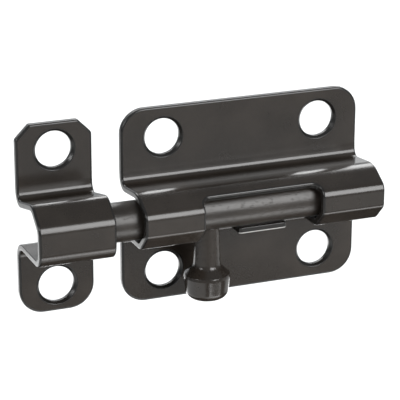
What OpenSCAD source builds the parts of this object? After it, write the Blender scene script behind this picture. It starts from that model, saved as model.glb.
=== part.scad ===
// Small slide bolt latch: a pressed body plate, a round bolt with a turned knob, and a pressed strike plate.
// The bolt is thrown (towards -X, into the strike) and the knob hangs down in its locking notch.
// Units are mm. X runs along the bolt, +Z is up the plate, +Y points at the door.
// Origin: centre of the body plate's four screw holes, on the plate's back face.

/* [Sheet] */
// Thickness of both pressed plates
sheet = 1.3; // [0.8:0.05:2]
// Front-side radius of the bends between flanges and barrel
bend_r = 1.4; // [0.5:0.1:2.5]
// Diameter of every screw hole
hole_d = 7.3; // [3:0.1:9]
// Depth and width of the bevel pressed round each hole's front rim
hole_bevel = 0.5; // [0.1:0.05:0.9]

/* [Body plate] */
// Length of the body plate along the bolt
plate_w = 51; // [42.5:0.5:64]
// Height of the body plate
plate_h = 40.2; // [33.4:0.2:52]
// Centre of a hole to the body plate's nearer end
hole_in_x = 8.8; // [6:0.1:11]
// Centre of a hole to the body plate's nearer long edge
hole_in_z = 6.2; // [5:0.1:8]
// Radius of the body plate's corners
plate_corner = 5; // [1:0.25:7]

/* [Bolt] */
// Diameter of the round bolt
rod_d = 7.8; // [6:0.1:9.5]
// Bolt axis in front of the flanges' front face
rod_depth = 7.3; // [6:0.1:9]
// Bolt axis above the centre line of the screw holes
rod_up = 0.2; // [-1:0.1:1]
// Rounding of the bolt's two ends
rod_round = 1.2; // [0.2:0.1:2]
// How far the thrown bolt reaches into the strike
engage = 10.6; // [6:0.2:14]
// How far the bolt slides to open
travel = 19.4; // [16:0.2:23.4]
// Thrown bolt's tail to the barrel's right end
tail_in = 2; // [0.5:0.5:6]

/* [Barrel] */
// Gap between the bolt and the barrel's lower wall
foot_gap = 0.2; // [0.05:0.05:0.6]
// Gap between the bolt and the barrel's front wall
front_gap = 1.3; // [0.3:0.1:2]
// Gap between the bolt and the barrel's crown
crown_gap = 0.7; // [0.4:0.1:1.5]
// How much lower the upper wall starts at the flange than at the crown
crown_rise = 0.9; // [0:0.1:2]
// How far the crown stands in front of the bolt axis
crown_ahead = 1.3; // [0.5:0.1:2.5]
// Radius over the crown
crown_r = 5; // [1:0.1:5.5]
// Crease at the top of the barrel's front face, above the bolt axis
crease_up = 2.7; // [2:0.1:4]
// Radius of that crease
crease_r = 2; // [0.5:0.1:3]
// Crease at the bottom of the front face, below the bolt axis
chin_down = 1.8; // [1:0.1:2.4]
// Radius of that crease
chin_r = 1.4; // [0.3:0.1:2]
// How far behind the front face the slanted belly meets the lower wall
belly_back = 3.5; // [2:0.1:4]
// Radius where the belly meets the lower wall
belly_r = 1.6; // [0.5:0.1:2]

/* [Knob] */
// Diameter of the knob's neck
neck_d = 5.3; // [3.5:0.1:6.4]
// Diameter of the knob's head at its rim
head_d = 9.3; // [7.5:0.1:11.5]
// Bolt axis to the head's rim
head_drop = 13.3; // [11:0.1:16]
// Height of the head below its rim
head_h = 4.9; // [3:0.1:8]
// Length of the flare between neck and rim
flare_h = 1.9; // [1:0.1:3]
// How much narrower the head is at its foot, on the radius
head_taper = 0.35; // [0:0.05:1]
// Rounding of the head's foot
head_round = 1.6; // [0.3:0.1:2]
// Running gap between the knob's saddle and the bolt
saddle_gap = 0.03; // [0.01:0.01:0.1]

/* [Window] */
// Barrel's left end to the window
window_in = 12.4; // [9:0.1:16]
// Window's upper edge above the bolt axis
window_up = 4.15; // [3:0.05:4.6]
// Radius of the window's upper corners
window_r = 1.8; // [0.5:0.1:3]
// Length of the locking notch for the thrown bolt
notch_w = 9; // [7:0.1:11]
// Gap between the knob's neck and a notch's end
notch_gap = 0.15; // [0.05:0.05:0.5]
// Gap between the knob's neck and the ledge between the notches
ledge_gap = 0.3; // [0.1:0.05:1]
// Depth of the notches behind the ledge's front edge
notch_deep = 1.6; // [0.5:0.1:2.5]

/* [Strike] */
// Length of the strike along the bolt
strike_w = 15.4; // [13:0.2:22]
// How much shorter the strike plate is than the body plate
strike_short = 1.4; // [0:0.1:4]
// Gap between strike and body plate
strike_gap = 5.9; // [1:0.1:8]
// Gap between the bolt and the strike's crown
catch_gap = 1.3; // [0.5:0.1:2]
// How much lower the strike's upper wall starts at the flange than at the crown
catch_rise = 2.1; // [0:0.1:2.5]
// How far the strike's crown stands in front of the bolt axis
catch_ahead = 1.9; // [0.5:0.1:2.5]
// Radius over the strike's crown
catch_crown_r = 3; // [1:0.1:5.5]
// Radius under the strike's front face
catch_r = 3; // [1.5:0.1:5]
// Clipped length at the strike's top corners
strike_clip = 2.8; // [1:0.1:4]
// Radius of the strike's lower corners
strike_corner = 5; // [1:0.25:6]

/* [Hidden] */
$fn = 48;
bend_steps = 10;                                       // flats round each bend of the sheet
rod_r = rod_d / 2;
neck_r = neck_d / 2;
head_r = head_d / 2;
hole_dx = plate_w - 2 * hole_in_x;                     // screw hole spacing along the bolt
hole_dz = plate_h - 2 * hole_in_z;                     // and up the plates, the same on both
strike_h = plate_h - strike_short;
rod_y = -sheet - rod_depth;                            // bolt axis, from the back face
rod_z = rod_up;
barrel_depth = rod_depth + rod_r + front_gap + sheet;  // barrel's front, off the flanges' front face
foot = rod_r + foot_gap + sheet - rod_z;               // underside of the lower wall, below the holes' centre
left = -plate_w / 2;                                   // barrel's left end
win_l = left + window_in;
win_r = win_l + travel + neck_d + 2 * notch_gap;       // the window is as long as the neck's travel
knob_x = win_l + notch_gap + neck_r;                   // neck stands at the left notch's outer end
rod_tail = plate_w / 2 - tail_in;
strike_r = left - strike_gap;                          // strike's right edge
strike_x = strike_r - strike_w / 2;
rod_tip = strike_r - engage;
ledge_y = rod_y + neck_r + ledge_gap;                  // ledge's front edge
ledge_l = win_l + notch_w;
ledge_r = win_r - neck_d - 2 * notch_gap;

// ---- sheet sections, drawn as [depth, height] with depth measured from the back face towards the front ----
// corner list of a section's front surface round the bolt: [depth, height, radius]
function section(h, gap, rise, ahead, round, under) = let (top = rod_z + rod_r + gap + sheet) [
    [sheet, h / 2, 0], [sheet, top - rise, bend_r], [sheet + rod_depth + ahead, top, round],
    [sheet + barrel_depth, rod_z + crease_up, crease_r], each under,
    [sheet, -foot, bend_r], [sheet, -h / 2, 0]];
body_under = [[sheet + barrel_depth, rod_z - chin_down, chin_r],
    [sheet + barrel_depth - belly_back, -foot, belly_r]];
strike_under = [[sheet + barrel_depth, -foot, catch_r]];

function unit(v) = v / norm(v);
function xy(p) = [p.x, p.y];
function normal(a, b) = let (d = unit(b - a)) [d.y, -d.x];     // points to the sheet's back side
function into(P, i) = unit(xy(P[i - 1]) - xy(P[i]));
function away(P, i) = unit(xy(P[i + 1]) - xy(P[i]));
function half(P, i) = acos(into(P, i) * away(P, i)) / 2;
function middle(P, i) = unit(into(P, i) + away(P, i));         // from a corner to its bend's centre
// +1 where the bend's centre lies behind the sheet, so that its front is the outer side
function outer(P, i) = middle(P, i) * normal(xy(P[i - 1]), xy(P[i])) > 0 ? 1 : -1;
// an outer bend that is tighter than the sheet is thick keeps a small radius on its inner side
function bend_radius(P, i, depth) = outer(P, i) > 0 ? max(P[i].z, depth + 0.2) : P[i].z;
function wrap(a) = a > 180 ? a - 360 : a < -180 ? a + 360 : a;

// one bend as points, at a depth below the front surface
function bend(P, i, depth) =
    let (R = bend_radius(P, i, depth), c = xy(P[i]) + middle(P, i) * R / sin(half(P, i)),
        set = R / tan(half(P, i)), p = xy(P[i]) + into(P, i) * set - c, q = xy(P[i]) + away(P, i) * set - c,
        a0 = atan2(p.y, p.x), turn = wrap(atan2(q.y, q.x) - a0), r = R - outer(P, i) * depth)
    [for (k = [0 : bend_steps]) let (a = a0 + turn * k / bend_steps) c + r * [cos(a), sin(a)]];

function skin(P, depth) = let (n = len(P) - 1) concat(
    [xy(P[0]) + depth * normal(xy(P[0]), xy(P[1]))],
    [for (i = [1 : n - 1]) each bend(P, i, depth)],
    [xy(P[n]) + depth * normal(xy(P[n - 1]), xy(P[n]))]);

function reversed(L) = [for (i = [len(L) - 1 : -1 : 0]) L[i]];

module pressed(P) polygon(concat(skin(P, 0), reversed(skin(P, sheet))));

// a section pushed along X, depth turned towards -Y
module strip(P, x0, w)
    translate([x0, 0, 0]) rotate([0, 0, -90]) rotate([90, 0, 0])
        mirror([0, 0, 1]) linear_extrude(w) pressed(P);

// screw hole along Y with the bevel on the front rim
module screw_hole(x, z) translate([x, 0, z]) rotate([90, 0, 0]) {
    translate([0, 0, -1]) cylinder(d = hole_d, h = sheet + 2);
    translate([0, 0, sheet - hole_bevel])
        cylinder(d1 = hole_d, d2 = hole_d + 4 * hole_bevel, h = 2 * hole_bevel);
}

// everything outside a corner's quarter circle; sx, sz point to the corner
module round_off(x, z, r, sx, sz) translate([x - sx * r, 1, z - sz * r]) rotate([90, 0, 0])
    difference() {
        translate([sx > 0 ? 0 : -r - 1, sz > 0 ? 0 : -r - 1, 0]) cube([r + 1, r + 1, sheet + 2]);
        translate([0, 0, -1]) cylinder(r = r, h = sheet + 4);
    }

module body_plate() color([0.07, 0.065, 0.06]) difference() {
    strip(section(plate_h, crown_gap, crown_rise, crown_ahead, crown_r, body_under), left, plate_w);
    for (sx = [-1, 1], sz = [-1, 1]) {
        screw_hole(sx * hole_dx / 2, sz * hole_dz / 2);
        round_off(sx * plate_w / 2, sz * plate_h / 2, plate_corner, sx, sz);
    }
    window();
}

// window through the front, run down behind the ledge as two notches
module window() {
    front = sheet + barrel_depth + 1;
    low = foot + rod_z + 1;
    top = window_up + rod_z;
    translate([win_l, -front, rod_z - low]) cube([win_r - win_l, front + ledge_y, low]);
    for (x = [[win_l, ledge_l], [ledge_r, win_r]])
        translate([x[0], -front, rod_z - low]) cube([x[1] - x[0], front + ledge_y + notch_deep, low]);
    translate([0, -front, 0]) rotate([-90, 0, 0]) linear_extrude(front + rod_y) {
        translate([win_l, window_r - top]) square([win_r - win_l, top - window_r]);
        translate([win_l + window_r, -top]) square([win_r - win_l - 2 * window_r, top]);
        for (x = [win_l + window_r, win_r - window_r]) translate([x, window_r - top]) circle(r = window_r);
    }
}

// the strike's upper corners are clipped and its lower ones rounded
module strike_plate() color([0.07, 0.065, 0.06]) difference() {
    strip(section(strike_h, catch_gap, catch_rise, catch_ahead, catch_crown_r, strike_under),
        strike_r - strike_w, strike_w);
    for (sz = [-1, 1]) screw_hole(strike_x, sz * hole_dz / 2);
    for (sx = [-1, 1]) {
        round_off(strike_x + sx * strike_w / 2, -strike_h / 2, strike_corner, sx, -1);
        translate([strike_x + sx * strike_w / 2, 0, strike_h / 2]) rotate([0, 45, 0])
            cube([strike_clip * sqrt(2), 4 * sheet, strike_clip * sqrt(2)], center = true);
    }
}

// round bolt with both ends rounded
module bolt_rod() color([0.08, 0.078, 0.075])
    translate([rod_tip, rod_y, rod_z]) rotate([0, 90, 0]) rotate_extrude() {
        square([rod_r - rod_round, rod_tail - rod_tip]);
        translate([0, rod_round]) square([rod_r, rod_tail - rod_tip - 2 * rod_round]);
        for (z = [rod_round, rod_tail - rod_tip - rod_round]) intersection() {
            translate([rod_r - rod_round, z]) circle(r = rod_round);
            translate([0, z - rod_round]) square([rod_r, 2 * rod_round]);
        }
    }

// turned knob: neck with a saddle against the bolt, flare, and a head rounded at its foot
module knob() color([0.06, 0.058, 0.055]) difference() {
    translate([knob_x, rod_y, rod_z]) rotate([180, 0, 0]) rotate_extrude() {
        square([neck_r, head_drop]);
        polygon([[0, head_drop - flare_h], [neck_r, head_drop - flare_h],
            [neck_r + (head_r - neck_r) * 0.25, head_drop - flare_h * 0.72],
            [neck_r + (head_r - neck_r) * 0.85, head_drop - flare_h * 0.3], [head_r, head_drop],
            [head_r - head_taper, head_drop + head_h - head_round], [0, head_drop + head_h - head_round]]);
        translate([0, head_drop]) square([head_r - head_taper - head_round, head_h]);
        translate([head_r - head_taper - head_round, head_drop + head_h - head_round]) circle(r = head_round);
    }
    translate([knob_x - 2 * neck_r, rod_y, rod_z]) rotate([0, 90, 0])
        cylinder(r = rod_r + saddle_gap, h = 4 * neck_r);
    translate([knob_x - 2 * neck_r, rod_y - 2 * rod_r, rod_z]) cube([4 * neck_r, 4 * rod_r, rod_r]);
}

body_plate();
bolt_rod();
knob();
strike_plate();
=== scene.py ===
# %% [markdown]
# # A small slide bolt latch
# The latch has four pieces: a pressed body plate, a pressed strike plate, a round bolt, and a knob
# that is turned up to free the bolt and down to lock it. All four wear the same thin, semi-gloss
# black coating. The frame holds their places and joints. This script makes the four pieces again as
# fine meshes, gives them their finish, and sets up a small photo studio round them.

# %% Load the frame
import math

import bpy
import numpy as np
from mathutils import Matrix, Vector
from mathutils.geometry import delaunay_2d_cdt


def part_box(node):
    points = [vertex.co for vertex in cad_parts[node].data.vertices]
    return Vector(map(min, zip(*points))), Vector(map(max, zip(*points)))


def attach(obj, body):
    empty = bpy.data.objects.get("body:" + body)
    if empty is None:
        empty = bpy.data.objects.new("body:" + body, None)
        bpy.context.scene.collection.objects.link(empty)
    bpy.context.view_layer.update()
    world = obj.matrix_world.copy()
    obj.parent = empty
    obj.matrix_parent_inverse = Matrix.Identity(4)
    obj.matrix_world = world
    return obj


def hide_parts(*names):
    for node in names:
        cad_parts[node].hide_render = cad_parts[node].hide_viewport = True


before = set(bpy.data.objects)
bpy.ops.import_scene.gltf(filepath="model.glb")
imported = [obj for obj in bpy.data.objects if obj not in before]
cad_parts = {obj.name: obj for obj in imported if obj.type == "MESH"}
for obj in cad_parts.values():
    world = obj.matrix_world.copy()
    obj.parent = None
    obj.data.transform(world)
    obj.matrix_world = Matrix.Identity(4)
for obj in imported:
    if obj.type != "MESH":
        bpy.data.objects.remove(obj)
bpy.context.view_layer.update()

# %% [markdown]
# ## Places from the frame
# Every size that the frame can tell is read from it, so the looks follow the design. The script works
# in millimetres and turns them into metres only when a mesh is written. What a box can't tell, such
# as how thick the sheet is or how tightly it is bent, is a named value here.

# %% Read the boxes
MM = 0.001


def box_mm(node):
    """Lowest and highest corner of a CAD node, in millimetres."""
    low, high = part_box(node)
    return np.array(low) / MM, np.array(high) / MM


body_low, body_high = box_mm("body_plate")
strike_low, strike_high = box_mm("strike_plate")
rod_low, rod_high = box_mm("bolt_rod")
knob_low, knob_high = box_mm("knob")
rod_y, rod_z = (rod_low[1:] + rod_high[1:]) / 2
rod_r = (rod_high[2] - rod_low[2]) / 2
knob_x = (knob_low[0] + knob_high[0]) / 2
print("bolt axis", rod_y.round(3), rod_z.round(3), "radius", rod_r.round(3), "knob at", knob_x.round(3))

# %% Name the sheet's own sizes
SHEET = 1.3                # thickness of both plates
BEND, LOW_BEND = 1.4, 2.2  # front radii where the upper and lower flanges turn into the barrel
LEAN, LEAN_H = 0.3, 2.4    # how far and over what height the upper flange leans out before its bend
LEAN_R = 8.0               # how gently the lean begins
FOOT_GAP = 0.2             # bolt to the barrel's lower wall
CREASE_UP = 2.7            # crease over the front face, above the bolt axis
CORNER_R = 5.0             # rounding of a plate's outer corners
HOLE_R, HOLE_BEVEL = 3.65, 0.5
HOLE_IN_X, HOLE_IN_Z = 8.8, 6.2   # hole centres from the plate's side and from its upper or lower edge
front_y = body_low[1]
wall_z = rod_z - rod_r - FOOT_GAP - SHEET

# %% [markdown]
# ## Lines with rounded corners
# A press tool is drawn as straight runs joined by arcs. The same kind of line gives the plates'
# bent section, the rounding of a punched edge, and the profile of a turned piece, so one function
# draws them all. It also returns the heading at every point, because the exact surface normal
# follows from it, and exact normals make a highlight run cleanly over a bend.

# %% Draw a rounded line


def left_of(heading):
    """The unit vector a quarter turn to the left of a heading."""
    return np.stack([-np.sin(heading), np.cos(heading)], -1)


def rounded_line(corners, step=7.5):
    """Points and headings along straight runs whose corners (a, b, radius) are rounded.
    An arc starts radius * tan(turn / 2) before its corner, and its points lie at equal angles round
    the arc's centre, which is a radius to the side of the line that it turns to."""
    spots = np.array([corner[:2] for corner in corners], float)
    runs = np.diff(spots, axis=0)
    headings = np.unwrap(np.arctan2(runs[:, 1], runs[:, 0]))
    points, turned = [spots[:1]], [headings[:1]]
    for i in range(1, len(spots) - 1):
        turn = headings[i] - headings[i - 1]
        radius = corners[i][2] * np.sign(turn)
        along = np.array([np.cos(headings[i - 1]), np.sin(headings[i - 1])])
        start = spots[i] - along * abs(radius * math.tan(turn / 2))
        count = max(2, math.ceil(abs(math.degrees(turn)) / step))
        angles = headings[i - 1] + turn * np.linspace(0, 1, count + 1)
        points.append(start + radius * (left_of(headings[i - 1]) - left_of(angles)))
        turned.append(angles)
    points.append(spots[-1:])
    turned.append(headings[-1:])
    return np.concatenate(points), np.concatenate(turned)


def run_length(points):
    """Distance along a line of points, from its first point."""
    return np.concatenate([[0], np.cumsum(np.linalg.norm(np.diff(points, axis=0), axis=1))])


def filled_in(s, spacing):
    """The lengths s and evenly spaced ones between them, at most a spacing apart."""
    return np.unique(np.concatenate([
        np.linspace(a, b, max(2, math.ceil((b - a) / spacing) + 1)) for a, b in zip(s[:-1], s[1:])]).round(6))


# %% [markdown]
# ## The bent section
# Both plates start as flat blanks and are folded over the same kind of section. From the top it is
# an upper flange that leans out a little before its bend, a slope up to the crown, a shoulder, a
# crease, the front face, a belly, a wall that goes back under the bolt, and the lower flange. The
# body's belly slants back from a crease under the front face, and the strike's is one round bend.
# `fold` does what the press does: it takes a place on the flat blank and a depth in the sheet, and
# gives the place in space.

# %% Fold a blank over its section


class Section:
    """A sheet's front outline from its top edge to its bottom edge, in the (y, z) plane."""

    def __init__(self, corners):
        self.line, self.heading = rounded_line(corners, step=2.5)
        self.s = run_length(self.line)
        self.length = self.s[-1]
        coarse, _ = rounded_line(corners, step=7.5)
        self.bends = run_length(coarse) * self.length / run_length(coarse)[-1]

    def fold(self, x, s, depth):
        """Points of the folded sheet: the section's point at length s, moved depth to its right."""
        heading = np.interp(s, self.s, self.heading)
        inward = left_of(heading)
        y = np.interp(s, self.s, self.line[:, 0]) + depth * inward[..., 0]
        z = np.interp(s, self.s, self.line[:, 1]) + depth * inward[..., 1]
        return np.stack([x, y, z], -1)

    def turn(self, s, along_x, along_s, along_depth):
        """A direction given on the blank, turned into space at length s."""
        heading = np.interp(s, self.s, self.heading)
        inward = left_of(heading)
        y = along_s * np.cos(heading) + along_depth * inward[..., 0]
        z = along_s * np.sin(heading) + along_depth * inward[..., 1]
        return np.stack([along_x, y, z], -1)

    def crossing(self, axis, value, which=0):
        """The length at which the front outline crosses a value of y (axis 0) or z (axis 1)."""
        track = self.line[:, axis] - value
        hits = np.flatnonzero(track[:-1] * track[1:] <= 0)
        i = hits[which]
        share = track[i] / (track[i] - track[i + 1])
        return self.s[i] + share * (self.s[i + 1] - self.s[i])


def section_corners(half, crown_up, rise, crown_ahead, crown_r, crease_r, under):
    """Corners (y, z, radius) round the bolt. crown_up is the crown above the bolt axis, and under
    holds the corners below the front face."""
    top = rod_z + crown_up
    return [(-SHEET, half, 0), (-SHEET, top - rise + LEAN_H, LEAN_R), (-SHEET - LEAN, top - rise, BEND),
            (rod_y - crown_ahead, top, crown_r), (front_y, rod_z + CREASE_UP, crease_r), *under,
            (-SHEET, wall_z, LOW_BEND), (-SHEET, -half, 0)]


CHIN_DOWN, CHIN_R = 1.8, 1.4       # crease under the front face, below the bolt axis
BELLY_BACK, BELLY_R = 3.5, 2.8     # where the slanted belly meets the lower wall
body_section = Section(section_corners(
    half=body_high[2], crown_up=5.9, rise=0.9, crown_ahead=1.3, crown_r=6.0, crease_r=2.2,
    under=[(front_y, rod_z - CHIN_DOWN, CHIN_R), (front_y + BELLY_BACK, wall_z, BELLY_R)]))
strike_section = Section(section_corners(
    half=strike_high[2], crown_up=6.5, rise=2.1, crown_ahead=1.9, crown_r=3.0, crease_r=2.7,
    under=[(front_y, wall_z, 3.0)]))
print("blank heights", round(body_section.length, 2), round(strike_section.length, 2))

# %% [markdown]
# ## Outlines on the blank
# The blanks are punched while they are flat: the outer outline, the screw holes and, in the body
# plate, the window with its two locking notches. The ledge between the notches is what locks the
# latch: the knob's neck drops into a notch at either end and can't slide past the ledge until it is
# turned up. Each outline is a closed loop of points with a direction that points out of the metal.

# %% Draw closed loops
SPACING = 0.35         # distance between points along an outline
MERGE = 0.02           # points closer than this become one


def closed_loop(corners, hole=False):
    """Evenly spaced points and outward directions of a closed outline with rounded corners.
    The line starts halfway along the last run, so that every corner is rounded alike."""
    first, last = np.array(corners[0][:2]), np.array(corners[-1][:2])
    middle = tuple((first + last) / 2) + (0,)
    points, heading = rounded_line([middle] + corners + [middle], step=9)
    s = run_length(points)
    spots = filled_in(s, SPACING)
    spots = spots[np.concatenate([[True], np.diff(spots) > MERGE])][:-1]
    points = np.stack([np.interp(spots, s, points[:, k]) for k in (0, 1)], -1)
    area = np.sum(points[:, 0] * np.roll(points[:, 1], -1) - np.roll(points[:, 0], -1) * points[:, 1])
    side = -np.sign(area) * (-1 if hole else 1)
    return points, side * left_of(np.interp(spots, s, heading))


def round_hole(x, s, radius, count=84):
    """A circle of points whose outward direction points to its centre, away from the metal."""
    angle = np.linspace(0, 2 * math.pi, count, endpoint=False)
    spoke = np.stack([np.cos(angle), np.sin(angle)], -1)
    return np.array([x, s]) + radius * spoke, -spoke


# %% [markdown]
# ## Edges and skins
# A punched edge isn't sharp: the punch rolls the sheet over a little and the coating softens it
# more. So every loop carries a small edge profile: over the front rounding, down the cut, and over
# the back rounding. A screw hole's profile starts with a pressed bevel. Between the loops lie the
# two skins, filled with triangles on the flat blank. The edges are worked out on the blank too, so
# they fold with it and stay equally wide where an outline crosses a bend.

# %% Press a sheet
# The corners of an edge profile are (distance out from the loop, depth in the sheet, rounding).
ROLLED = [(-0.6, 0, 0), (0, 0, 0.42), (0, SHEET, 0.16), (-0.45, SHEET, 0)]
BEVELLED = [(-1.0, 0, 0), (-HOLE_BEVEL, 0, 0.16), (0, HOLE_BEVEL, 0.2), (0, SHEET, 0.12), (-0.45, SHEET, 0)]
CLEARANCE = 0.3        # grid points closer to an edge than this are left out


def inside(points, loop):
    """Whether each point lies inside a loop: it does if a ray to the right crosses it an odd
    number of times."""
    a, b = loop, np.roll(loop, -1, axis=0)
    x, y = points[:, :1], points[:, 1:]
    spans = (a[:, 1] > y) != (b[:, 1] > y)
    rise = np.where(b[:, 1] == a[:, 1], 1e-9, b[:, 1] - a[:, 1])
    reach = a[:, 0] + (y - a[:, 1]) * (b[:, 0] - a[:, 0]) / rise
    return (np.sum(spans & (x < reach), axis=1) % 2) == 1


def on_metal(points, rings):
    """Whether each point lies inside the outer ring and outside every hole ring."""
    metal = inside(points, rings[0])
    for ring in rings[1:]:
        metal &= ~inside(points, ring)
    return metal


def blank_grid(section, low_x, high_x, column=0.8, row=1.6):
    """Points of a grid on the blank, with a row at every step of every bend."""
    columns = np.linspace(low_x, high_x, math.ceil((high_x - low_x) / column) + 1)
    return np.stack(np.meshgrid(columns, filled_in(section.bends, row)), -1).reshape(-1, 2)


def fill_skin(rings, grid):
    """Triangles between the outer ring and the hole rings, with the grid's points inside them."""
    edge_points = np.concatenate(rings)
    grid = grid[on_metal(grid, rings)]
    gap = np.min(np.linalg.norm(grid[:, None] - edge_points[None], axis=2), axis=1)
    points = np.concatenate([edge_points, grid[gap > CLEARANCE]])
    starts = np.cumsum([0] + [len(ring) for ring in rings])
    edges = [np.stack([np.arange(a, b), np.roll(np.arange(a, b), -1)], -1)
             for a, b in zip(starts[:-1], starts[1:])]
    found = delaunay_2d_cdt([Vector(p) for p in points], np.concatenate(edges).tolist(), [], 1, 1e-7)
    triangles = np.array(found[2])
    assert len(found[0]) == len(points), "the outlines cross each other"
    return points, triangles[on_metal(points[triangles].mean(axis=1), rings)]


def write_mesh(name, points, faces, normals, rim=None):
    """A mesh object from points in millimetres, faces, and the exact normal of every point.
    A face whose winding disagrees with its points' normals is turned round."""
    points, normals = np.asarray(points), np.asarray(normals)
    outward = []
    for block in faces:
        block = np.asarray(block)
        a, b, c = (points[block[:, k]] for k in (0, 1, 2))
        flat = np.cross(b - a, c - b)
        wrong = np.einsum("ij,ij->i", flat, normals[block].mean(axis=1)) < 0
        block[wrong] = block[wrong][:, ::-1]
        outward += block.tolist()
    mesh = bpy.data.meshes.new(name)
    mesh.from_pydata((points * MM).tolist(), [], outward)
    mesh.polygons.foreach_set("use_smooth", np.ones(len(outward), bool))
    mesh.normals_split_custom_set_from_vertices(normals.tolist())
    if rim is not None:
        layer = mesh.attributes.new("rim", "FLOAT", "POINT")
        layer.data.foreach_set("value", np.asarray(rim, np.float32))
    piece = bpy.data.objects.new(name, mesh)
    bpy.context.scene.collection.objects.link(piece)
    print(name, len(points), "points", len(outward), "faces")
    return piece


def pressed_sheet(name, section, low_x, high_x, loops):
    """A folded sheet: two skins and, round each loop, the edge profile that joins them.
    loops is a list of (points, outward directions, edge profile), the outer outline first."""
    profiles = [rounded_line(profile, step=22.5) for _, _, profile in loops]
    rings = [points + outward * line[0, 0] for (points, outward, _), (line, _) in zip(loops, profiles)]
    skin, triangles = fill_skin(rings, blank_grid(section, low_x, high_x))
    count, zeros = len(skin), np.zeros(len(skin))
    places = [section.fold(skin[:, 0], skin[:, 1], zeros), None]
    normals = [section.turn(skin[:, 1], zeros, zeros, zeros + facing) for facing in (-1, 1)]
    faces, rims = [triangles, triangles + count], [zeros, zeros]
    back, start, total = skin.copy(), 0, 2 * count
    for (points, outward, _), (line, heading) in zip(loops, profiles):
        size, between = len(points), len(line) - 2
        back[start:start + size] = points + outward * line[-1, 0]
        x, s = (points[None, :, k] + outward[None, :, k] * line[1:-1, :1] for k in (0, 1))
        facing = -left_of(heading[1:-1])
        places.append(section.fold(x, s, np.repeat(line[1:-1, 1:], size, 1)).reshape(-1, 3))
        across = outward[None, :, :] * facing[:, :1, None]
        normals.append(section.turn(
            s, across[..., 0], across[..., 1], np.repeat(facing[:, 1:], size, 1)).reshape(-1, 3))
        rims.append(np.ones(between * size))
        ring = np.arange(size)
        rows = np.stack([start + ring] + [total + k * size + ring for k in range(between)]
                        + [count + start + ring])
        following = np.roll(rows, -1, axis=1)
        faces.append(np.stack([rows[:-1], following[:-1], following[1:], rows[1:]], -1).reshape(-1, 4))
        start, total = start + size, total + between * size
    places[1] = section.fold(back[:, 0], back[:, 1], zeros + SHEET)
    return write_mesh(name, np.concatenate(places), faces, np.concatenate(normals), np.concatenate(rims))


# %% [markdown]
# ## The body plate
# The plate's outer corners are rounded, and its window runs from the shoulder over the front face
# and the belly into the lower wall. At both ends it goes further back, as the locking notches.

# %% Make the body plate
WINDOW = (-13.1, 11.9)         # the window's ends along the bolt
LEDGE = (-4.1, 6.3)            # the ledge's ends
WINDOW_TOP = 4.35              # height of the window's upper edge
LEDGE_FRONT = -10.2            # how far forward the ledge reaches
NOTCH_BACK = -4.05             # how far back the notches reach
WINDOW_R, NOTCH_R, LEDGE_R = 1.8, 0.8, 0.7   # rounding of their corners


def plate_holes(section, xs, inset):
    """Screw holes near both edges of the blank, at the same inset from each."""
    return [round_hole(x, s, HOLE_R) + (BEVELLED,) for x in xs for s in (inset, section.length - inset)]


top_s = body_section.crossing(1, WINDOW_TOP)
ledge_s = body_section.crossing(0, LEDGE_FRONT, -1)
notch_s = body_section.crossing(0, NOTCH_BACK, -1)
body_outline = closed_loop([(x, s, CORNER_R) for x, s in (
    (body_low[0], 0), (body_high[0], 0), (body_high[0], body_section.length),
    (body_low[0], body_section.length))])
window = closed_loop([
    (WINDOW[0], top_s, WINDOW_R), (WINDOW[1], top_s, WINDOW_R), (WINDOW[1], notch_s, NOTCH_R),
    (LEDGE[1], notch_s, NOTCH_R), (LEDGE[1], ledge_s, LEDGE_R), (LEDGE[0], ledge_s, LEDGE_R),
    (LEDGE[0], notch_s, NOTCH_R), (WINDOW[0], notch_s, NOTCH_R)], hole=True)
hole_x = body_high[0] - HOLE_IN_X
body_plate = pressed_sheet("pressed_body_plate", body_section, body_low[0], body_high[0], [
    body_outline + (ROLLED,), window + (ROLLED,), *plate_holes(body_section, (-hole_x, hole_x), HOLE_IN_Z)])
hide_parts("body_plate")
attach(body_plate, "plate")

# %% [markdown]
# ## The painted highlight on the ledge
# A light grey line is painted along the ledge's lower front edge as a painted highlight. A higher
# value of `rim` marks those points. Marking points is simpler than cutting a new material region,
# and it follows the edge exactly.

# %% Mark the painted highlight on the ledge
count = len(body_plate.data.vertices)
spots = np.zeros(count * 3)
body_plate.data.vertices.foreach_get("co", spots)
x, y, z = spots.reshape(-1, 3).T / MM
rim_layer = body_plate.data.attributes["rim"]
rim = np.zeros(count)
rim_layer.data.foreach_get("value", rim)
HIGHLIGHT_BACK, HIGHLIGHT_UP, SLACK = 0.5, 0.32, 0.1   # how far the painted highlight runs back and up, and a tolerance
highlighted = ((rim == 1) & (x > LEDGE[0] - SLACK) & (x < LEDGE[1] + SLACK) & (y < LEDGE_FRONT + HIGHLIGHT_BACK)
          & (y > LEDGE_FRONT - 2 * SLACK) & (z > wall_z - SLACK) & (z < wall_z + HIGHLIGHT_UP))
rim_layer.data.foreach_set("value", np.where(highlighted, 2.0, rim).astype(np.float32))
print("rubbed points", int(highlighted.sum()))

# %% [markdown]
# ## The strike plate
# The strike is a narrow piece of the same sheet. Its upper corners are clipped straight and its
# lower corners are rounded, and it has one screw hole in each flange.

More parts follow.
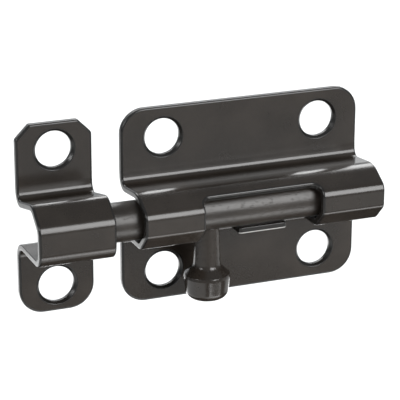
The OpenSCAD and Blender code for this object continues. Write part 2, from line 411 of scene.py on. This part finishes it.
# %% Make the strike plate
CLIP, CLIP_SIDE_R, CLIP_TOP_R = 2.8, 1.2, 0.7   # the clipped corners, and the rounding of their ends
low_x, high_x, end_s = strike_low[0], strike_high[0], strike_section.length
strike_inset = HOLE_IN_Z + strike_high[2] - body_high[2]   # level with the body plate's holes
strike_outline = closed_loop([
    (low_x, CLIP, CLIP_SIDE_R), (low_x + CLIP, 0, CLIP_TOP_R), (high_x - CLIP, 0, CLIP_TOP_R),
    (high_x, CLIP, CLIP_SIDE_R), (high_x, end_s, CORNER_R), (low_x, end_s, CORNER_R)])
strike_plate = pressed_sheet("pressed_strike_plate", strike_section, low_x, high_x, [
    strike_outline + (ROLLED,), *plate_holes(strike_section, [(low_x + high_x) / 2], strike_inset)])
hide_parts("strike_plate")
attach(strike_plate, "strike")

# %% [markdown]
# ## Turned pieces
# The bolt is cut from round bar and its ends are eased in a lathe. The knob is turned too. A turned
# piece is a profile carried round an axis: rings of points, each ring a circle, closed by a single
# point at each end.

# %% Turn a profile
AROUND = 128
CAP_RINGS = 7          # rings across each end, so that a lifted end follows its curve closely


def turned(name, profile, place, lift=None):
    """A closed turned piece. The profile's corners are (distance along the axis, radius, rounding);
    place maps (along, across, sideways) to space, and lift moves each point along the axis by a
    function of its distances along the axis and sideways."""
    line, heading = rounded_line(profile, step=9)
    share = np.linspace(0, 1, CAP_RINGS + 2)[1:-1, None]
    line = np.concatenate([line[0] + share * (line[1] - line[0]), line[1:-1],
                           line[-2] + share * (line[-1] - line[-2])])
    heading = np.concatenate([np.full(CAP_RINGS, heading[0]), heading[1:-1], np.full(CAP_RINGS, heading[-1])])
    angle = np.linspace(0, 2 * math.pi, AROUND, endpoint=False)
    along = np.repeat(line[:, :1], AROUND, 1)
    across, sideways = line[:, 1:] * np.cos(angle), line[:, 1:] * np.sin(angle)
    ends = np.array([[profile[0][0], 0, 0], [profile[-1][0], 0, 0]])
    local = np.concatenate([np.stack([along, across, sideways], -1).reshape(-1, 3), ends])
    facing = left_of(heading)
    tilt = np.repeat(facing[:, :1], AROUND, 1)
    normal = np.concatenate([
        np.stack([tilt, facing[:, 1:] * np.cos(angle), facing[:, 1:] * np.sin(angle)], -1).reshape(-1, 3),
        np.array([[-1.0, 0, 0], [1.0, 0, 0]])])
    if lift is not None:
        local[:, 0] += lift(local[:, 0], local[:, 2])
    ring = np.arange(AROUND)
    rows = np.arange(len(line))[:, None] * AROUND + ring
    following = np.roll(rows, -1, axis=1)
    sides = np.stack([rows[:-1], following[:-1], following[1:], rows[1:]], -1).reshape(-1, 4)
    first, last = len(line) * AROUND, len(line) * AROUND + 1
    caps = np.concatenate([np.stack([ring * 0 + first, rows[0], following[0]], -1),
                           np.stack([ring * 0 + last, rows[-1], following[-1]], -1)])
    origin = place(np.zeros((1, 3)))
    return write_mesh(name, place(local), [sides, caps], place(normal) - origin)


# %% [markdown]
# ## The bolt
# Both ends of the bolt have an eased edge and are very slightly domed. The long straight run needs
# no rings of its own, because the exact normals shade it cleanly.

# %% Turn the bolt


def on_bolt(local):
    """Along the bolt is +X, across is -Y and sideways is +Z."""
    return np.stack([local[:, 0], rod_y - local[:, 1], rod_z + local[:, 2]], -1)


ROD_EASE, ROD_DOME = 1.2, 0.12
rod_profile = [(rod_low[0], 0, 0), (rod_low[0] + ROD_DOME, rod_r, ROD_EASE),
               (rod_high[0] - ROD_DOME, rod_r, ROD_EASE), (rod_high[0], 0, 0)]
bolt_bar = turned("round_bolt", rod_profile, on_bolt)
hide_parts("bolt_rod")
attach(bolt_bar, "bolt")

# %% [markdown]
# ## The knob
# The knob's neck stands out of the bolt, widens a little, and flares in a hollow curve to the rim of
# the head. The head tapers slightly and its foot is well rounded. The neck's top is cut to the
# bolt's own curve, so that it sits close to the bolt at every angle.

# %% Turn the knob
SADDLE_GAP, SADDLE_FADE = 0.03, 2.0   # gap to the bolt, and how far down the neck the saddle fades
NECK_R, RIM_R = 2.4, (knob_high[0] - knob_low[0]) / 2
RIM_DROP, FOOT_DROP = 13.3, rod_z - knob_low[2]   # the rim and the foot, below the bolt's axis
FLARE_H, NECK_SPREAD = 1.9, 0.35      # where the flare starts above the rim, and how far the neck widens
seat_r = rod_r + SADDLE_GAP


def on_knob(local):
    """Along the knob is -Z from the bolt's axis, across is +X and sideways is -Y."""
    return np.stack([knob_x + local[:, 1], rod_y - local[:, 2], rod_z - local[:, 0]], -1)


def saddle(along, sideways):
    """Moves the neck's top onto the bolt's round surface, and fades out down the neck."""
    rise = np.sqrt(seat_r ** 2 - np.minimum(np.abs(sideways), NECK_R) ** 2) - seat_r
    return rise * np.clip(1 - (along - seat_r) / SADDLE_FADE, 0, 1)


knob_profile = [(seat_r, 0, 0), (seat_r, NECK_R, 0.08), (RIM_DROP - FLARE_H, NECK_R + NECK_SPREAD, 1.3),
                (RIM_DROP - 0.3, RIM_R - 0.15, 0.25), (RIM_DROP + 0.3, RIM_R, 0.4),
                (FOOT_DROP - 0.1, RIM_R - 0.5, 1.8), (FOOT_DROP, 0, 0)]
knob = turned("turned_knob", knob_profile, on_knob, lift=saddle)
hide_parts("knob")
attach(knob, "knob")

# %% [markdown]
# ## Writing materials as sums
# Shader maths reads best as an expression. `Value` wraps a socket, so that `0.3 + noise * 0.1` adds
# its own Math nodes, and `Finish.node` makes any other node from its type, settings and inputs.

# %% Wrap the shader nodes


class Value:
    """A number that a socket carries. Arithmetic on it adds Math nodes."""

    def __init__(self, finish, socket):
        self.finish, self.socket = finish, socket

    def _math(self, operation, first, second):
        return self.finish.node("ShaderNodeMath", {"operation": operation}, {0: first, 1: second})

    def __add__(self, other):
        return self._math("ADD", self, other)

    def __sub__(self, other):
        return self._math("SUBTRACT", self, other)

    def __rsub__(self, other):
        return self._math("SUBTRACT", other, self)

    def __mul__(self, other):
        return self._math("MULTIPLY", self, other)

    __radd__ = __add__
    __rmul__ = __mul__


class Finish:
    """A material and the nodes that are added to it."""

    def __init__(self, name):
        self.material = bpy.data.materials.new(name)
        self.material.use_nodes = True
        self.tree = self.material.node_tree
        self.shader = self.tree.nodes["Principled BSDF"]

    def node(self, kind, settings=None, inputs=None, output=0):
        """A node of that type; settings are set first, then each input's value or link."""
        made = self.tree.nodes.new(kind)
        for name, value in (settings or {}).items():
            setattr(made, name, value)
        self.feed(made, inputs or {})
        return Value(self, made.outputs[output])

    def feed(self, node, inputs):
        """Sets or links the named or numbered inputs of a node."""
        for name, value in inputs.items():
            if isinstance(value, Value):
                self.tree.links.new(value.socket, node.inputs[name])
            else:
                node.inputs[name].default_value = value

    def place(self, scale):
        """Object coordinates, turned into the pattern's own units by a scale on each axis."""
        spot = self.node("ShaderNodeTexCoord", output=3)
        return self.node("ShaderNodeMapping", inputs={"Vector": spot, "Scale": scale})

    def noise(self, size_mm, detail=2.0, rough=0.5, stretch=(1, 1, 1), seed=0.0):
        """Noise whose blobs are about size_mm across, stretched by a factor on each axis."""
        scale = tuple(1000.0 / (size_mm * factor) for factor in stretch)
        return self.node("ShaderNodeTexNoise", {"noise_dimensions": "4D"}, {
            "Vector": self.place(scale), "W": seed, "Scale": 1.0, "Detail": detail, "Roughness": rough})

    def between(self, value, low, high):
        """0 below low, 1 above high, and smooth in between."""
        return self.node("ShaderNodeMapRange", {"interpolation_type": "SMOOTHSTEP"}, {
            "Value": value, "From Min": low, "From Max": high, "To Min": 0.0, "To Max": 1.0})

    def blend(self, factor, first, second):
        """A colour from first, where the factor is 0, to second, where it is 1."""
        return self.node("ShaderNodeMix", {"data_type": "RGBA"}, {0: factor, 6: first, 7: second}, output=2)

    def bump(self, height, distance_mm, strength=1.0, under=None):
        """A bump map of that height in millimetres, on top of another one."""
        inputs = {"Height": height, "Distance": distance_mm * MM, "Strength": strength}
        if under is not None:
            inputs["Normal"] = under
        return self.node("ShaderNodeBump", inputs=inputs)


# %% [markdown]
# ## The black coating
# The coating is a thin baked enamel on steel: nearly black with a warm cast, semi-gloss, with the
# faint orange peel that sprayed enamel dries to, and a slow waviness that comes from the pressed
# sheet under it. The cut edges are a little rougher than the skins, and painted shade makes them
# darker, so that they show as dark outlines. A light grey painted highlight lies on the ledge's
# lower front edge. A flat black would show none of this: what the eye reads as quality is how the
# highlights wander and break.

# %% Mix the coating
WARM_BLACK = (0.018, 0.0140, 0.0108, 1)
DUSTY_BLACK = (0.026, 0.0205, 0.0162, 1)
# The next two colours are painted light: a shade black that darkens the cut edges and the knob, and a light
# grey highlight for the ledge's lower front edge.
SHADE_BLACK = (0.009, 0.008, 0.007, 1)
HIGHLIGHT_GREY = (0.36, 0.35, 0.335, 1)
ENAMEL_IOR = 1.5


def coating(name, gloss, peel, waves):
    """A black coating: gloss is its mean roughness, peel and waves the bumps' heights in mm."""
    finish = Finish(name)
    finish.shader.inputs["IOR"].default_value = ENAMEL_IOR
    cloud = finish.noise(9.0, 3.0, seed=1.0)
    speck = finish.noise(0.35, 2.0, 0.6, seed=2.0)
    colour = finish.blend(finish.between(cloud * 0.8 + speck * 0.2, 0.38, 0.66), WARM_BLACK, DUSTY_BLACK)
    roughness = gloss + (cloud - 0.5) * 0.08 + (speck - 0.5) * 0.03
    slow = finish.bump(finish.noise(7.0, 1.0, seed=3.0), waves)
    fine = finish.bump(finish.noise(0.7, 2.0, 0.5, seed=4.0), peel, under=slow)
    return finish, colour, roughness, fine


def sheet_coating():
    """The coating on the pressed plates: painted shade on the cut edges, and a painted highlight on the
    ledge's lower front edge.
    """
    finish, colour, roughness, normal = coating("black_enamel_on_sheet", 0.21, 0.0025, 0.05)
    rim = finish.node("ShaderNodeAttribute", {"attribute_name": "rim"}, output=2)
    # Painted shade: the cut edges are darkened towards the shade black, so that they show as dark outlines.
    shaded_edges = finish.between(rim * 0.8 + finish.noise(0.8, 3.0, 0.7, seed=5.0) * 0.4, 0.55, 1.05)
    # Painted highlight: the marked points on the ledge's lower front edge turn light grey.
    ledge_highlight = finish.between(rim + finish.noise(0.6, 2.0, 0.6, seed=11.0) * 0.5, 1.55, 2.05)
    finish.feed(finish.shader, {
        "Base Color": finish.blend(ledge_highlight, finish.blend(shaded_edges, colour, SHADE_BLACK), HIGHLIGHT_GREY),
        "Roughness": roughness + shaded_edges * 0.04 + ledge_highlight * 0.08, "Normal": normal})
    return finish.material


def bar_coating():
    """The coating on the bolt: satin, with fine marks along the way that it slides."""
    finish, colour, roughness, normal = coating("black_enamel_on_bar", 0.33, 0.006, 0.02)
    marks = finish.noise(0.22, 3.0, 0.7, stretch=(30, 1, 1), seed=6.0)
    pits = finish.between(finish.noise(0.8, 3.0, 0.65, seed=7.0), 0.52, 0.70)
    scored = finish.bump(marks, 0.007, under=normal)
    finish.feed(finish.shader, {
        "Base Color": colour, "Roughness": roughness + (marks - 0.5) * 0.14 + pits * 0.14,
        "Normal": finish.bump(1.0 - pits, 0.016, under=scored)})
    return finish.material


def knob_coating():
    """The coating on the knob: glossier and thicker, with lumps where it pooled in the flare. The
    lumps fade out below the rim, by the height in the knob's own coordinates."""
    finish, colour, roughness, normal = coating("black_enamel_on_knob", 0.17, 0.01, 0.03)
    lumps = finish.noise(0.7, 3.0, 0.6, seed=8.0)
    spot = finish.node("ShaderNodeTexCoord", output=3)
    height = finish.node("ShaderNodeSeparateXYZ", inputs={"Vector": spot}, output=2)
    flare = finish.between(height, (rod_z - RIM_DROP - 0.4) * MM, (rod_z - RIM_DROP + 0.2) * MM)
    # Painted shade: the base colour is mottled towards the shade black, which darkens the whole knob.
    finish.feed(finish.shader, {
        "Base Color": finish.blend(finish.between(lumps, 0.1, 0.5), SHADE_BLACK, colour),
        "Roughness": roughness, "Normal": finish.bump(lumps * (flare * 0.9 + 0.1), 0.09, under=normal)})
    return finish.material


sheet_finish = sheet_coating()
for piece, material in ((body_plate, sheet_finish), (strike_plate, sheet_finish),
                        (bolt_bar, bar_coating()), (knob, knob_coating())):
    piece.data.materials.append(material)
    print(piece.name, material.name)

# %% [markdown]
# The frame's own solids are hidden by the pieces that stand for them. They get the same coating, so
# that nothing plain shows if one is ever brought back.

# %% Coat the hidden solids
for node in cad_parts.values():
    node.data.materials.clear()
    node.data.materials.append(sheet_finish)

# %% [markdown]
# ## The camera
# A long lens from the left and a little above. The camera looks at a point near the middle of the
# latch, and its place follows from two angles and a distance.

# %% Place the camera
AZIMUTH, ELEVATION, ROLL = (math.radians(angle) for angle in (-22.23, 19.15, 0.15))
LOOK_AT = Vector((-0.0083, 0.0, -0.0007))
DISTANCE = 0.3899
LENS, SENSOR = 174.87, 36.0


def direction(azimuth, elevation):
    """The unit vector towards a place seen from the latch: azimuth 0 is straight in front."""
    return Vector((math.sin(azimuth) * math.cos(elevation), -math.cos(azimuth) * math.cos(elevation),
                   math.sin(elevation)))


def aim(thing, target, roll=0.0):
    """Turns an object so that its own -Z points at the target and its +Y stays up."""
    look = (target - thing.location).to_track_quat("-Z", "Y").to_matrix().to_4x4()
    thing.matrix_world = Matrix.Translation(thing.location) @ look @ Matrix.Rotation(roll, 4, "Z")


lens = bpy.data.cameras.new("camera")
lens.lens, lens.sensor_width = LENS, SENSOR
lens.clip_start, lens.clip_end = 0.01, 20.0
camera = bpy.data.objects.new("camera", lens)
bpy.context.scene.collection.objects.link(camera)
camera.location = LOOK_AT + DISTANCE * direction(AZIMUTH, ELEVATION)
aim(camera, LOOK_AT, ROLL)
bpy.context.scene.camera = camera
print("camera at", [round(value, 4) for value in camera.location])

# %% [markdown]
# ## The studio
# Glossy black shows only what it reflects, so the studio is the other half of the finish. There is a
# wide pale floor, and six lights that the camera itself can't see. Two softboxes in front, one on
# each side, draw the long highlights on the bends. Behind the latch stand a bright high panel, a dim
# low one, and a small one below it. A low bounce in front reaches the faces that look down.

# %% Build the studio
FLOOR_Z, FLOOR_HALF = -0.25, 6.0


def softbox(name, azimuth, elevation, distance, size, radiance):
    """A rectangular light that faces the latch. Its power is radiance times pi times its area."""
    light = bpy.data.lights.new(name, "AREA")
    light.shape, light.size, light.size_y = "RECTANGLE", size[0], size[1]
    light.energy = radiance * math.pi * size[0] * size[1]
    box = bpy.data.objects.new(name, light)
    bpy.context.scene.collection.objects.link(box)
    box.location = distance * direction(math.radians(azimuth), math.radians(elevation))
    aim(box, Vector((0, 0, 0)))
    box.visible_camera = False
    print(name, "power", round(light.energy, 2))


softbox("right_softbox", 24, 23, 0.8, (0.40, 0.54), 8.5)
softbox("left_softbox", -74, 24, 0.8, (0.30, 0.22), 9.0)
softbox("back_panel", 168, 44, 1.6, (2.0, 0.6), 7.5)
softbox("low_backdrop", 168, 12, 1.6, (2.0, 0.5), 1.3)
softbox("under_panel", 168, -38, 0.3, (0.5, 0.14), 1.8)
softbox("low_bounce", 22, -47, 0.32, (0.30, 0.11), 4.5)

floor_mesh = bpy.data.meshes.new("floor")
floor_mesh.from_pydata([(x * FLOOR_HALF, y * FLOOR_HALF, FLOOR_Z) for x, y in (
    (-1, -1), (1, -1), (1, 1), (-1, 1))], [], [(0, 1, 2, 3)])
floor = bpy.data.objects.new("floor", floor_mesh)
bpy.context.scene.collection.objects.link(floor)


def floor_paint():
    """Plain pale paint with a faint mottle."""
    finish = Finish("pale_floor")
    mottle = finish.noise(60.0, 2.0, seed=9.0)
    finish.feed(finish.shader, {"Base Color": finish.blend(
        mottle, (0.86, 0.86, 0.85, 1), (0.89, 0.89, 0.88, 1))})
    finish.shader.inputs["Roughness"].default_value = 0.9
    return finish.material


floor.data.materials.append(floor_paint())

# %% [markdown]
# ## Two cards
# A black card under the latch keeps the pale floor out of the barrel's belly, and a dark grey card
# on the floor in front does the same for the lower flanges and the knob. Only glossy reflections
# see them, so they throw no shadow and the floor stays plain.

# %% Lay the cards


def card(name, centre, size, heading, grey):
    """A flat card that only reflections see, turned by its heading, painted a mottled grey."""
    corners = np.array([(-0.5, -0.5), (0.5, -0.5), (0.5, 0.5), (-0.5, 0.5)]) * size
    turn = np.array([[math.cos(heading), math.sin(heading)], [-math.sin(heading), math.cos(heading)]])
    flat = corners @ turn + np.array(centre[:2])
    mesh = bpy.data.meshes.new(name)
    mesh.from_pydata([(x, y, centre[2]) for x, y in flat.tolist()], [], [(0, 1, 2, 3)])
    sheet = bpy.data.objects.new(name, mesh)
    bpy.context.scene.collection.objects.link(sheet)
    sheet.visible_camera = sheet.visible_diffuse = sheet.visible_shadow = False
    paper = Finish(name + "_paper")
    fibre = paper.noise(3.0, 2.0, seed=10.0)
    paper.feed(paper.shader, {"Base Color": paper.blend(
        fibre, (0.8 * grey, 0.8 * grey, 0.8 * grey, 1), (1.2 * grey, 1.2 * grey, 1.2 * grey, 1))})
    paper.shader.inputs["Roughness"].default_value = 0.95
    mesh.materials.append(paper.material)


card("black_card", (0.05, 0.045, -0.12), (0.26, 0.19), 0.0, 0.015)
FRONT, AWAY, LIFT = math.radians(22), 0.42, 0.002   # the grey card's heading, distance and height
card("grey_card", (AWAY * math.sin(FRONT), -AWAY * math.cos(FRONT), FLOOR_Z + LIFT), (0.9, 0.40), FRONT, 0.12)

# %% [markdown]
# ## The room
# The room itself is dim and slightly cool. It fills what the softboxes leave, such as the straight
# upward view that the tops of the bends reflect.

# %% Light the room
ROOM_COLOUR, ROOM_STRENGTH = (0.60, 0.64, 0.68, 1), 0.5
world = bpy.data.worlds.new("world")
world.use_nodes = True
room = world.node_tree.nodes["Background"].inputs
room["Color"].default_value, room["Strength"].default_value = ROOM_COLOUR, ROOM_STRENGTH
bpy.context.scene.world = world
bpy.context.scene.view_settings.view_transform = "Standard"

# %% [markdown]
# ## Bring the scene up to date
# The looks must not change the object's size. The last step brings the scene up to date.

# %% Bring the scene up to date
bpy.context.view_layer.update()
